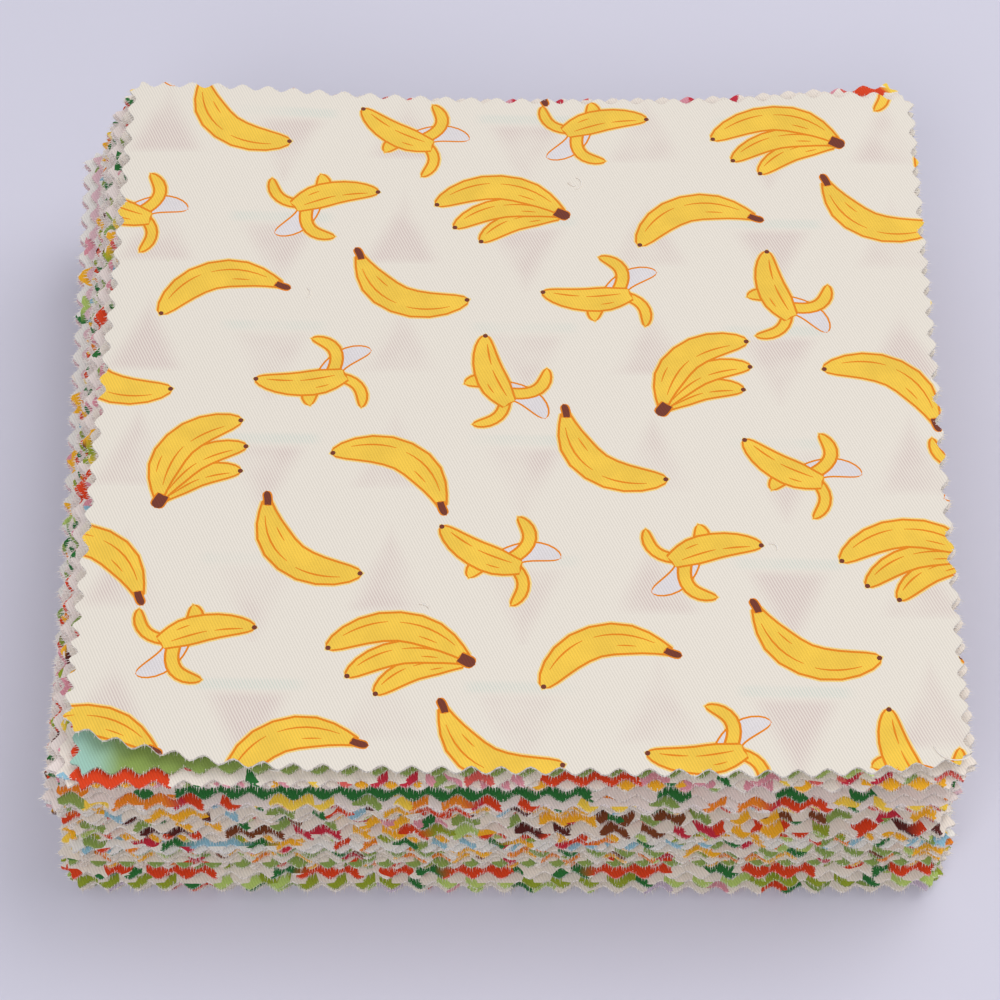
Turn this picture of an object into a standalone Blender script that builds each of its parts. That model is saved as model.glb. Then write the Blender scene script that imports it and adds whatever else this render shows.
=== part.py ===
"""A loose stack of pinked squares of printed cotton, lying flat as it was put down.

Sixteen solids lie one over the other. Each has the zigzag outline of pinking shears, its own
shift, turn and cut size, and it follows the relief of the heap under it. The lowest one is flat
underneath, so that the stack rests on it. Metres, +Z up, the origin under the middle of the stack.
"""

import math

import bmesh
import bpy
from mathutils import Matrix, Vector

# Driving dimensions, in metres
CUT_SIDE = 0.100
CLOTH_THICKNESS = 0.00128
CLOTH_GAP = 0.00040
TEETH_PER_SIDE = 31
TOOTH_DEPTH = 0.00135
RING_TO_MAT = 0.0105
MAT_CELLS = 4

# Where the heap's top stands up or droops: a place as shares of the side from the left and from the
# front, the height there in metres, and the reach of the lift as a share of the side
LIFT_COLUMNS = ("across", "back", "height", "reach")
LIFTS = (
    (0.08, 1.00, 0.0018, 0.22),
    (0.90, 1.00, 0.0011, 0.10),
    (0.50, 0.45, 0.0004, 0.35),
    (1.00, 0.00, -0.0004, 0.25),
    (0.20, 0.00, 0.0004, 0.14),
    (0.00, 0.45, 0.0004, 0.15),
    (1.00, 0.60, 0.0003, 0.12),
)

# The share of the front edge that a corner's sweep takes, and the hollow of the back edge
SWEEP_SHARE = 0.27
BACK_BOW = 0.0009

MM = 0.001
# Moves the whole stack, so that the origin is under the middle of its box
STACK_SHIFT = Vector((0.00285, -0.00044, 0.0))

PALETTE = {
    "ivory": (0.80, 0.75, 0.66),
    "leaf": (0.20, 0.36, 0.10),
    "coral": (0.72, 0.13, 0.05),
    "rose": (0.76, 0.45, 0.47),
    "forest": (0.03, 0.17, 0.05),
    "amber": (0.82, 0.42, 0.04),
    "sky": (0.45, 0.63, 0.74),
    "cream": (0.78, 0.72, 0.60),
    "maroon": (0.20, 0.04, 0.03),
    "olive": (0.32, 0.40, 0.08),
}

# The sheets from the lowest up, in millimetres and degrees. The turn is counter-clockwise, and the
# sweeps are how far the front left and front right corners are drawn back.
SHEET_COLUMNS = ("shift_x", "shift_y", "turn", "width", "depth", "sweep_left", "sweep_right", "print")
SHEETS = (
    (-0.5, -0.7, 0.5, 101.6, 100.6, 0.0, 0.6, "cream"),
    (-1.2, -0.5, 0.9, 102.0, 100.8, 0.4, 0.0, "olive"),
    (-1.3, -1.0, 0.8, 102.2, 100.4, 0.0, 0.4, "coral"),
    (-1.6, -0.7, 1.1, 102.2, 100.8, 0.6, 0.0, "cream"),
    (-1.0, -0.8, 0.7, 101.8, 100.4, 0.3, 0.5, "leaf"),
    (-1.4, -0.2, 1.3, 101.8, 101.2, 0.2, 0.0, "sky"),
    (-1.4, -0.3, 1.0, 101.4, 100.4, 0.5, 0.2, "amber"),
    (-2.1, 0.7, 1.6, 101.2, 100.6, 0.0, 0.0, "rose"),
    (-2.6, 0.9, 2.1, 101.6, 99.8, 0.3, 0.0, "maroon"),
    (-4.0, 1.2, 2.5, 101.0, 99.0, 0.2, 0.0, "cream"),
    (-2.0, 0.2, 1.2, 102.6, 100.2, 0.5, 0.2, "sky"),
    (-1.6, 0.1, 0.7, 102.6, 100.6, 0.2, 0.4, "amber"),
    (-1.4, 0.0, 0.4, 102.8, 100.8, 0.4, 0.6, "forest"),
    (-1.4, -0.1, 0.5, 101.8, 101.0, 0.2, 0.5, "coral"),
    (-0.3, 0.4, 0.4, 100.6, 103.0, 0.0, 0.6, "leaf"),
    (0.3, -0.2, 0.0, 101.0, 101.2, 5.4, 2.2, "ivory"),
)


def clear_scene():
    """Removes every object that the opened file holds."""
    for old in list(bpy.data.objects):
        bpy.data.objects.remove(old, do_unlink=True)


def smooth_step(t):
    """Rises gently from 0 at t = 0 to 1 at t = 1."""
    t = min(max(t, 0.0), 1.0)
    return t * t * (3.0 - 2.0 * t)


def heap_relief(x, y):
    """How far the top of the heap stands above or below its level at a place in the plan."""
    u = x / CUT_SIDE + 0.5
    v = y / CUT_SIDE + 0.5
    relief = 0.0
    for row in LIFTS:
        lift = dict(zip(LIFT_COLUMNS, row))
        away = math.hypot(u - lift["across"], v - lift["back"]) / lift["reach"]
        relief += lift["height"] * math.exp(-away * away)
    return relief


def sweep_share(distance, width):
    """How much of a corner's sweep is left at a distance from that corner along the edge."""
    return max(0.0, 1.0 - distance / (width * SWEEP_SHARE)) ** 2


def pinked_outline(width, depth, sweep_left, sweep_right):
    """The zigzag outline of one sheet, counter-clockwise from its front left corner."""
    corners = (
        Vector((-width / 2, -depth / 2)),
        Vector((width / 2, -depth / 2)),
        Vector((width / 2, depth / 2)),
        Vector((-width / 2, depth / 2)),
    )
    steps = 2 * TEETH_PER_SIDE
    outline = []
    for side, start in enumerate(corners):
        along = (corners[(side + 1) % 4] - start).normalized()
        inwards = Vector((-along.y, along.x))
        length = (corners[(side + 1) % 4] - start).length
        for step in range(steps):
            inset = 0.0 if step % 2 else TOOTH_DEPTH
            if step == 0:
                place = start + (along + inwards) * TOOTH_DEPTH
            else:
                place = start + along * (length * step / steps) + inwards * inset
            outline.append(place)
    for place in outline:
        front = smooth_step(-4.0 * place.y / depth - 1.0)
        back = smooth_step(4.0 * place.y / depth - 1.0)
        place.y += front * sweep_left * sweep_share(place.x + width / 2, width)
        place.y += front * sweep_right * sweep_share(width / 2 - place.x, width)
        place.y -= back * BACK_BOW * math.cos(math.pi * place.x / width)
    return outline


def sheet_mesh(name, row, level):
    """One pinked sheet as an open surface: a mat of square cells inside the ring of teeth."""
    width, depth = row["width"] * MM, row["depth"] * MM
    outline = pinked_outline(width, depth, row["sweep_left"] * MM, row["sweep_right"] * MM)
    work = bmesh.new()
    mat_size = 0.5 * CUT_SIDE - RING_TO_MAT
    bmesh.ops.create_grid(work, x_segments=MAT_CELLS, y_segments=MAT_CELLS, size=mat_size)
    rim = [edge for edge in work.edges if edge.is_boundary]
    ring = bmesh.ops.create_circle(work, segments=len(outline), radius=CUT_SIDE)["verts"]
    for vertex, place in zip(ring, outline):
        vertex.co = (place.x, place.y, 0.0)
    teeth = list({edge for vertex in ring for edge in vertex.link_edges})
    bmesh.ops.triangle_fill(work, use_beauty=True, edges=rim + teeth)
    turn = Matrix.Rotation(math.radians(row["turn"]), 4, "Z")
    shift = Matrix.Translation((row["shift_x"] * MM, row["shift_y"] * MM, 0.0))
    bmesh.ops.transform(work, matrix=shift @ turn, verts=work.verts)
    share = level / (len(SHEETS) - 1)
    for vertex in work.verts:
        vertex.co.z = level * (CLOTH_THICKNESS + CLOTH_GAP) + share * heap_relief(vertex.co.x, vertex.co.y)
    bmesh.ops.translate(work, vec=STACK_SHIFT, verts=work.verts)
    bmesh.ops.recalc_face_normals(work, faces=work.faces)
    if sum(face.normal.z for face in work.faces) < 0.0:
        bmesh.ops.reverse_faces(work, faces=work.faces)
    mesh = bpy.data.meshes.new(name)
    work.to_mesh(mesh)
    work.free()
    return mesh


def cotton(name):
    """The plain finish of one print's ground, made once for each colour of the palette."""
    material = bpy.data.materials.get(name)
    if material is None:
        material = bpy.data.materials.new(name)
        material.use_nodes = True
        shader = material.node_tree.nodes["Principled BSDF"]
        shader.inputs["Base Color"].default_value = (*PALETTE[name], 1.0)
        shader.inputs["Roughness"].default_value = 0.9
        shader.inputs["Metallic"].default_value = 0.0
    return material


def add_sheet(collection, level):
    """Places one sheet of the stack and gives it its thickness, upwards from its underside."""
    row = dict(zip(SHEET_COLUMNS, SHEETS[level]))
    name = f"sheet_{level + 1:02d}"
    sheet = bpy.data.objects.new(name, sheet_mesh(name, row, level))
    collection.objects.link(sheet)
    sheet.data.materials.append(cotton(row["print"]))
    wall = sheet.modifiers.new("thickness", "SOLIDIFY")
    wall.thickness = CLOTH_THICKNESS
    wall.offset = 1.0


def main():
    """Builds the stack from the lowest sheet up."""
    clear_scene()
    collection = bpy.data.collections.new("fabric_bundle")
    bpy.context.scene.collection.children.link(collection)
    for level in range(len(SHEETS)):
        add_sheet(collection, level)


main()
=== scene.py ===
"""Fabric bundle: a loose stack of pinked, printed cotton pieces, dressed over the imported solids.

Each of the sixteen solids stands for three thin pieces of cloth that lie together. Here every solid
is replaced by its three pieces, with the zigzag edge of pinking shears, frayed thread ends and a
print of their own. Metres throughout, in the frame of the solids.
"""

import logging
import math
import random
from dataclasses import dataclass, field
from enum import Enum

import bmesh
import bpy
from bmesh.types import BMVert, BMesh
from bpy.types import Material, Mesh, Node, NodeSocket, NodeTree, Object
from mathutils import Matrix, Vector
from mathutils.geometry import delaunay_2d_cdt


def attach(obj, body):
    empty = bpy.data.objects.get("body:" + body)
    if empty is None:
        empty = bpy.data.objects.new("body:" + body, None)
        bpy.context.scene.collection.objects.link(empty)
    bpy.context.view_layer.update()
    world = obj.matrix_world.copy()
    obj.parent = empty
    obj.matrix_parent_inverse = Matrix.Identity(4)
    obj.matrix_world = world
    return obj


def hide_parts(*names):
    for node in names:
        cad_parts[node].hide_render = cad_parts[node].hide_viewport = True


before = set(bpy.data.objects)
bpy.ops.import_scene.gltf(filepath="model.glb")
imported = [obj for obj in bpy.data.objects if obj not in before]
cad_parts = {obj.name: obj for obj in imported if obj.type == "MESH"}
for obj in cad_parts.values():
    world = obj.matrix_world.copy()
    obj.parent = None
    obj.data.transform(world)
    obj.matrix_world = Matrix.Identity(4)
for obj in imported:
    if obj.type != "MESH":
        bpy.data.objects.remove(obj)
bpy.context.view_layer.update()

log = logging.getLogger("fabric_bundle")

MM = 0.001
Tint = tuple[float, float, float]
Point = tuple[float, float]

# The stack as the solids have it, with the thickness of the single pieces; faces whose normal rises
# less than the edge slope belong to the cut edge
CUT_SIDE = 0.100
SOLID_PITCH = 0.00168
PLIES = 3
PLY_PITCH = SOLID_PITCH / PLIES
CLOTH_THICKNESS = 0.00035
EDGE_SLOPE = 0.5
TEETH_PER_SIDE = 31
TOOTH_DEPTH = 0.00135
SWEEP_SHARE = 0.27
BACK_BOW = 0.0009
GREEN_ORDER = 44
TOP_ORDER = 47
STACK_SHIFT = Vector((0.00285, -0.00044, 0.0))

# Where the heap's top stands up or droops: shares of the side from the left and from the front,
# the height there, and the reach as a share of the side
LIFTS = (
    (0.08, 1.00, 0.0018, 0.22),
    (0.90, 1.00, 0.0011, 0.10),
    (0.50, 0.45, 0.0004, 0.35),
    (1.00, 0.00, -0.0004, 0.25),
    (0.20, 0.00, 0.0004, 0.14),
    (0.00, 0.45, 0.0004, 0.15),
    (1.00, 0.60, 0.0003, 0.12),
)

# The solids from the lowest up, in millimetres and degrees: shift across and back, turn, width,
# depth, and how far the front left and front right corners are drawn back
SOLIDS = (
    (-0.5, -0.7, 0.5, 101.6, 100.6, 0.0, 0.6),
    (-1.2, -0.5, 0.9, 102.0, 100.8, 0.4, 0.0),
    (-1.3, -1.0, 0.8, 102.2, 100.4, 0.0, 0.4),
    (-1.6, -0.7, 1.1, 102.2, 100.8, 0.6, 0.0),
    (-1.0, -0.8, 0.7, 101.8, 100.4, 0.3, 0.5),
    (-1.4, -0.2, 1.3, 101.8, 101.2, 0.2, 0.0),
    (-1.4, -0.3, 1.0, 101.4, 100.4, 0.5, 0.2),
    (-2.1, 0.7, 1.6, 101.2, 100.6, 0.0, 0.0),
    (-2.6, 0.9, 2.1, 101.6, 99.8, 0.3, 0.0),
    (-4.0, 1.2, 2.5, 101.0, 99.0, 0.2, 0.0),
    (-2.0, 0.2, 1.2, 102.6, 100.2, 0.5, 0.2),
    (-1.6, 0.1, 0.7, 102.6, 100.6, 0.2, 0.4),
    (-1.4, 0.0, 0.4, 102.8, 100.8, 0.4, 0.6),
    (-1.4, -0.1, 0.5, 101.8, 101.0, 0.2, 0.5),
    (-0.3, 0.4, 0.4, 100.6, 103.0, 0.0, 0.6),
    (0.3, -0.2, 0.0, 101.0, 101.2, 5.4, 2.2),
)


def dye(red: int, green: int, blue: int) -> Tint:
    """Turns a colour in the usual 0 to 255 steps into the linear values that shaders take."""
    steps = (step / 255.0 for step in (red, green, blue))
    return tuple(step / 12.92 if step <= 0.04045 else ((step + 0.055) / 1.055) ** 2.4 for step in steps)


def smooth_step(share: float) -> float:
    """Rises gently from 0 to 1 as the share does."""
    share = min(max(share, 0.0), 1.0)
    return share * share * (3.0 - 2.0 * share)


class Dye(Enum):
    """The inks that show in the prints, with the ground cloths."""

    IVORY = dye(236, 228, 215)
    CREAM = dye(242, 231, 219)
    WHITE = dye(240, 236, 230)
    LEAF = dye(142, 166, 84)
    FOREST = dye(40, 116, 52)
    OLIVE = dye(150, 166, 44)
    LIME = dye(184, 208, 112)
    TEAL = dye(162, 204, 188)
    SKY = dye(150, 196, 216)
    RED = dye(224, 66, 22)
    ORANGE = dye(242, 138, 34)
    AMBER = dye(250, 184, 40)
    YELLOW = dye(252, 212, 76)
    CRIMSON = dye(204, 44, 66)
    CORAL = dye(226, 98, 90)
    ROSE = dye(226, 150, 164)
    PINK = dye(240, 226, 220)
    BLUSH = dye(230, 192, 200)
    LILAC = dye(208, 190, 212)
    BROWN = dye(128, 66, 32)
    MAROON = dye(92, 34, 30)
    PALE_ROSE = dye(218, 198, 192)
    PALE_TEAL = dye(202, 218, 208)
    FRUIT = dye(255, 209, 76)
    FRUIT_LINE = dye(240, 140, 20)
    FRUIT_HALO = dye(252, 222, 140)
    FRUIT_BROWN = dye(122, 58, 42)
    FRUIT_FLESH = dye(232, 226, 226)


# How far each piece's front edge is drawn back from its solid's, in millimetres, from the highest
# piece down: the pieces lie in packets, and what a packet hides is drawn back most
FRONT_BACK = {
    46: 0.6, 45: 0.6, 44: 1.2, 43: -0.3, 42: 0.3, 41: 0.8, 40: 0.9, 39: 1.0, 38: 0.9, 37: 0.9,
    36: -0.2, 35: -1.1, 34: -0.9, 33: -0.6, 32: 0.2, 31: 0.3, 30: 0.4, 26: -0.4, 25: -0.2, 24: 0.0,
    23: -0.1, 22: 0.1, 21: 0.3, 20: 0.2, 19: 0.1, 18: 0.3, 17: 0.0, 16: 0.2, 15: 0.3, 14: 0.0,
    13: 0.2, 12: 0.0, 11: 0.0, 10: 0.4, 9: 0.5, 8: -0.5, 7: 0.3, 6: 0.5, 5: -1.4, 4: -0.2,
    3: 0.2, 2: -0.9, 1: 0.2,
}

# The same for the pieces that the list leaves out
USUAL_FRONT_BACK = 0.2


@dataclass(frozen=True)
class EdgeRepeat:
    """A small repeat that shows along a cut edge, in millimetres.

    Each blot is where it starts in the repeat, its width and its ink. A depth under 1 gives a line
    that only follows the cut.
    """

    pitch: float
    blots: tuple[tuple[float, float, Dye], ...]
    depth: float = 1.0
    start: float = -50.0

    def ink_at(self, run: float) -> Dye | None:
        """The ink at a place along the edge.

        Args:
            run: The place from the edge's middle, in millimetres.

        Returns:
            The ink, or None where the ground shows.
        """
        inside = (run - self.start) % self.pitch
        for start, width, ink in self.blots:
            if start <= inside <= start + width:
                return ink
        return None


# The repeats along the front of the pieces that show most, charted one by one
FRONT_REPEATS = {
    43: EdgeRepeat(52.0, (
        (0.0, 11.4, Dye.RED), (13.5, 1.2, Dye.FOREST), (16.8, 1.2, Dye.ROSE), (19.4, 1.4, Dye.FOREST),
        (23.0, 1.5, Dye.ROSE), (26.2, 1.4, Dye.YELLOW), (29.6, 1.6, Dye.CORAL), (33.0, 2.2, Dye.CRIMSON),
        (36.4, 2.2, Dye.CRIMSON), (39.8, 2.0, Dye.LEAF), (43.6, 3.0, Dye.CORAL), (48.4, 1.8, Dye.ROSE),
    )),
    42: EdgeRepeat(29.0, (
        (3.0, 8.0, Dye.AMBER), (14.0, 1.4, Dye.LEAF), (18.0, 3.0, Dye.ROSE), (23.6, 2.4, Dye.AMBER),
    )),
    36: EdgeRepeat(104.0, ((14.0, 46.0, Dye.FOREST),)),
    35: EdgeRepeat(33.0, (
        (1.5, 1.8, Dye.LEAF), (6.6, 2.6, Dye.ORANGE), (10.4, 2.6, Dye.ORANGE), (13.8, 1.4, Dye.CRIMSON),
        (15.2, 2.0, Dye.RED), (19.0, 2.2, Dye.RED), (22.8, 1.2, Dye.FOREST), (25.6, 2.2, Dye.YELLOW),
        (29.2, 2.2, Dye.YELLOW),
    )),
    34: EdgeRepeat(19.0, (
        (1.0, 2.0, Dye.ORANGE), (5.6, 2.4, Dye.AMBER), (11.0, 1.4, Dye.RED), (15.0, 2.2, Dye.ORANGE),
    )),
    32: EdgeRepeat(16.0, ((2.0, 1.8, Dye.CORAL), (6.2, 1.4, Dye.LEAF), (11.6, 2.2, Dye.RED))),
    26: EdgeRepeat(44.0, (
        (1.5, 1.4, Dye.RED), (5.6, 1.8, Dye.SKY), (10.0, 6.6, Dye.AMBER), (19.0, 1.8, Dye.SKY),
        (24.6, 2.4, Dye.LEAF), (28.8, 1.6, Dye.FOREST), (33.0, 1.8, Dye.SKY), (37.0, 2.6, Dye.AMBER),
        (41.0, 1.8, Dye.RED),
    )),
    24: EdgeRepeat(14.0, ((1.2, 2.4, Dye.AMBER), (5.4, 1.6, Dye.LIME), (9.6, 1.8, Dye.FOREST)), 0.84),
    23: EdgeRepeat(21.0, (
        (2.0, 2.2, Dye.LEAF), (8.0, 1.5, Dye.LEAF), (12.0, 2.4, Dye.AMBER), (15.4, 2.4, Dye.AMBER),
        (19.0, 1.4, Dye.FOREST),
    )),
    21: EdgeRepeat(12.0, ((0.6, 2.0, Dye.CRIMSON), (5.0, 2.2, Dye.RED), (8.6, 1.4, Dye.OLIVE))),
    20: EdgeRepeat(43.0, (
        (3.0, 1.6, Dye.RED), (8.0, 1.8, Dye.MAROON), (10.0, 1.4, Dye.RED), (11.5, 1.4, Dye.MAROON),
        (17.6, 2.8, Dye.BROWN), (21.4, 2.8, Dye.BROWN), (25.0, 2.4, Dye.CRIMSON), (28.0, 2.4, Dye.CRIMSON),
        (31.6, 2.6, Dye.AMBER), (35.2, 2.6, Dye.AMBER), (38.6, 2.0, Dye.RED), (41.0, 1.8, Dye.OLIVE),
    )),
    18: EdgeRepeat(17.0, (
        (1.6, 2.2, Dye.OLIVE), (5.2, 2.0, Dye.AMBER), (9.4, 2.4, Dye.AMBER), (13.8, 1.6, Dye.LIME),
    )),
    17: EdgeRepeat(27.0, (
        (3.5, 1.6, Dye.RED), (6.5, 1.8, Dye.ORANGE), (11.0, 2.0, Dye.FOREST), (14.5, 1.8, Dye.SKY),
        (18.0, 1.5, Dye.SKY), (21.0, 1.8, Dye.FOREST), (24.0, 2.0, Dye.AMBER),
    ), 0.88),
    15: EdgeRepeat(20.0, ((2.4, 2.6, Dye.AMBER), (7.6, 1.8, Dye.SKY), (12.8, 2.6, Dye.ORANGE)), 0.84),
    14: EdgeRepeat(26.24, (
        (0.0, 2.3, Dye.LEAF), (3.3, 2.3, Dye.FOREST), (6.6, 2.3, Dye.LEAF), (9.8, 2.3, Dye.LEAF),
        (13.1, 2.3, Dye.LEAF), (17.6, 4.4, Dye.AMBER),
    ), 0.88, start=-50.4),
    13: EdgeRepeat(15.0, ((1.0, 2.2, Dye.BROWN), (6.4, 1.8, Dye.AMBER), (11.0, 1.6, Dye.OLIVE)), 0.84),
    12: EdgeRepeat(18.0, ((2.0, 2.2, Dye.ORANGE), (7.0, 2.4, Dye.AMBER), (13.0, 1.8, Dye.CRIMSON)), 0.84),
    11: EdgeRepeat(3.30, ((0.0, 2.3, Dye.LEAF),), start=-50.6),
    9: EdgeRepeat(23.0, ((3.0, 3.4, Dye.AMBER), (11.0, 2.4, Dye.ORANGE), (17.0, 3.0, Dye.OLIVE)), 0.84),
    8: EdgeRepeat(17.2, ((6.4, 2.2, Dye.FOREST), (8.9, 8.2, Dye.RED))),
    5: EdgeRepeat(26.24, (
        (0.0, 2.3, Dye.OLIVE), (3.3, 2.3, Dye.OLIVE), (6.6, 2.3, Dye.OLIVE), (9.8, 2.3, Dye.OLIVE),
        (13.1, 2.0, Dye.FOREST), (16.4, 2.3, Dye.LIME), (19.7, 2.3, Dye.LIME), (23.0, 2.3, Dye.LIME),
    ), start=-50.4),
    2: EdgeRepeat(31.0, ((4.0, 3.2, Dye.LILAC), (12.0, 1.8, Dye.ROSE), (20.0, 2.6, Dye.FOREST)), 0.84),
}

# The repeats along the other edges, which the pieces take in turn
SIDE_REPEATS = (
    EdgeRepeat(38.0, (
        (2.0, 2.2, Dye.RED), (8.0, 1.8, Dye.LEAF), (20.0, 1.0, Dye.MAROON), (21.4, 1.6, Dye.OLIVE),
    )),
    EdgeRepeat(30.0, (
        (1.0, 1.6, Dye.OLIVE), (2.8, 0.8, Dye.MAROON), (4.0, 1.6, Dye.AMBER), (17.0, 1.4, Dye.FOREST),
    )),
    EdgeRepeat(36.0, (
        (5.0, 1.4, Dye.SKY), (12.0, 1.8, Dye.YELLOW), (14.0, 1.0, Dye.OLIVE), (26.0, 1.4, Dye.LEAF),
    )),
    EdgeRepeat(33.0, ((3.0, 1.6, Dye.FOREST), (5.2, 1.4, Dye.LIME), (15.0, 1.0, Dye.ROSE))),
    EdgeRepeat(44.0, ((0.0, 1.2, Dye.ROSE), (11.0, 2.4, Dye.ORANGE), (14.0, 1.0, Dye.BROWN))),
)
BLUSH_REPEAT = EdgeRepeat(4.0, ((0.0, 4.0, Dye.BLUSH),), 0.60)
BLUSH_ORDERS = (27, 29, 31)
BACK_REPEAT = EdgeRepeat(23.0, ((4.0, 1.2, Dye.CRIMSON), (9.0, 1.4, Dye.CRIMSON), (13.0, 1.0, Dye.CORAL)))
BACK_CORNER = EdgeRepeat(100.0, ((94.0, 3.8, Dye.RED), (98.0, 2.8, Dye.YELLOW)))
BACK_ORDER = 43
# How far that piece's back right corner stands out, over the last share of its width
BACK_FLARE = 1.3 * MM
FLARE_SHARE = 0.09
# Where the inks of that piece's corners start, as shares of the side from its middle
FRONT_CORNERS = -0.45
BACK_CORNER_FROM = 0.3
# From these pieces up the back is plain, but for that piece, and the right is plain
PLAIN_BACK_FROM = 36
PLAIN_RIGHT_FROM = 41
# How far the repeats of the sides shift from piece to piece, in millimetres
STAGGER = 7.0


@dataclass(frozen=True)
class GreenRim:
    """The leaf green band along the front of the piece under the top one, with its teal corner.

    Each edge of the band is where it starts from the piece's middle, and over what it fades in.
    """

    front: tuple[float, float] = (-0.030, 0.008)
    right: tuple[float, float] = (0.040, 0.003)
    teal: tuple[float, float] = (-0.0440, 0.004)
    fresh: tuple[float, float] = (0.026, 0.010)

    def ink_at(self, place: Vector) -> tuple[float, float, float, float]:
        """The band's colour at a place of the flat piece, with its share.

        Args:
            place: The place from the piece's middle.

        Returns:
            Red, green and blue, and how much of the ink there is.
        """
        near = smooth_step((self.front[0] - place.y) / self.front[1])
        reach = smooth_step((self.right[0] - place.x) / self.right[1])
        corner = smooth_step((self.teal[0] - place.x) / self.teal[1])
        fresh = smooth_step((place.x - self.fresh[0]) / self.fresh[1])
        tint = Vector(Dye.LEAF.value).lerp(Vector(Dye.TEAL.value), corner).lerp(Vector(Dye.LIME.value), fresh)
        return (*tint, near * reach)


# What the colour attribute holds where the ground shows
NO_INK = (0.0, 0.0, 0.0, 0.0)


class NodeBoard:
    """Places shader nodes in one tree and wires them."""

    def __init__(self, tree: NodeTree) -> None:
        """Starts on a tree."""
        self.tree = tree

    def add(self, kind: str, **settings: object) -> Node:
        """Adds one node.

        Args:
            kind: The node's type name without the shader prefix.
            **settings: Values for the node's own properties.

        Returns:
            The new node.
        """
        node = self.tree.nodes.new(f"ShaderNode{kind}")
        for name, value in settings.items():
            setattr(node, name, value)
        return node

    def feed(self, into: NodeSocket, value: object) -> None:
        """Wires a socket, or sets its constant where the value isn't a socket.

        Args:
            into: The input to feed.
            value: A socket, a dye, a colour or a constant.
        """
        if isinstance(value, NodeSocket):
            self.tree.links.new(value, into)
        elif isinstance(value, Dye):
            into.default_value = (*value.value, 1.0)
        elif isinstance(value, tuple) and len(value) == 3 and into.type == "RGBA":
            into.default_value = (*value, 1.0)
        else:
            into.default_value = value

    def math(self, operation: str, *values: object, clamp: bool = False) -> NodeSocket:
        """Adds a Math node.

        Args:
            operation: The node's operation.
            *values: Its inputs in their order.
            clamp: Whether the result stays between 0 and 1.

        Returns:
            The node's result.
        """
        node = self.add("Math", operation=operation, use_clamp=clamp)
        for into, value in zip(node.inputs, values):
            self.feed(into, value)
        return node.outputs[0]

    def vector(self, operation: str, *values: object) -> NodeSocket:
        """Adds a Vector Math node.

        Args:
            operation: The node's operation.
            *values: Its inputs in their order.

        Returns:
            The vector, or the value of a dot product.
        """
        node = self.add("VectorMath", operation=operation)
        for into, value in zip(node.inputs, values):
            self.feed(into, value)
        return node.outputs["Value" if operation == "DOT_PRODUCT" else "Vector"]

    def blend(self, share: object, low: object, high: object, mode: str = "MIX") -> NodeSocket:
        """Mixes two colours by a share.

        Args:
            share: How much of the second colour there is.
            low: The first colour.
            high: The second colour.
            mode: How the two are blended.

        Returns:
            The mixed colour.
        """
        node = self.add("Mix", data_type="RGBA", blend_type=mode)
        self.feed(node.inputs["Factor"], share)
        self.feed(node.inputs[6], low)
        self.feed(node.inputs[7], high)
        return node.outputs[2]

    def spread(self, value: object, low: float, high: float, to_low: float, to_high: float) -> NodeSocket:
        """Maps a value smoothly from one range to another.

        Args:
            value: The value to map.
            low: Where its range starts.
            high: Where its range ends.
            to_low: What the start becomes.
            to_high: What the end becomes.

        Returns:
            The mapped value.
        """
        node = self.add("MapRange", interpolation_type="SMOOTHSTEP")
        for into, given in zip(node.inputs, (value, low, high, to_low, to_high)):
            self.feed(into, given)
        return node.outputs[0]

    def noise(self, place: object, scale: object, detail: float = 2.0) -> NodeSocket:
        """Adds a Noise Texture.

        Args:
            place: The place to read the noise at.
            scale: How fine the noise is.
            detail: How many finer layers it has.

        Returns:
            The noise between 0 and 1.
        """
        node = self.add("TexNoise")
        self.feed(node.inputs["Vector"], place)
        self.feed(node.inputs["Scale"], scale)
        node.inputs["Detail"].default_value = detail
        return node.outputs["Fac"]


class Effect:
    """A shader node group that is built once and used by several finishes."""

    title = ""
    takes: tuple[tuple[str, str, object], ...] = ()
    gives: tuple[tuple[str, str], ...] = ()

    def tree(self) -> NodeTree:
        """Gives the group, built the first time.

        Returns:
            The group's tree.
        """
        tree = bpy.data.node_groups.get(self.title)
        if tree is None:
            tree = bpy.data.node_groups.new(self.title, "ShaderNodeTree")
            for name, kind, value in self.takes:
                socket = tree.interface.new_socket(name=name, in_out="INPUT", socket_type=kind)
                if value is not None:
                    socket.default_value = value
            for name, kind in self.gives:
                tree.interface.new_socket(name=name, in_out="OUTPUT", socket_type=kind)
            board = NodeBoard(tree)
            self.draw(board, tree.nodes.new("NodeGroupInput"), tree.nodes.new("NodeGroupOutput"))
        return tree

    def draw(self, board: NodeBoard, source: Node, result: Node) -> None:
        """Draws the inside of the group."""
        raise NotImplementedError

    def place(self, board: NodeBoard, **values: object) -> Node:
        """Puts the group into a material.

        Args:
            board: The material's nodes.
            **values: The inputs, with underscores for the spaces in their names.

        Returns:
            The group's node.
        """
        node = board.add("Group", node_tree=self.tree())
        for name, value in values.items():
            board.feed(node.inputs[name.replace("_", " ")], value)
        return node


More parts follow.
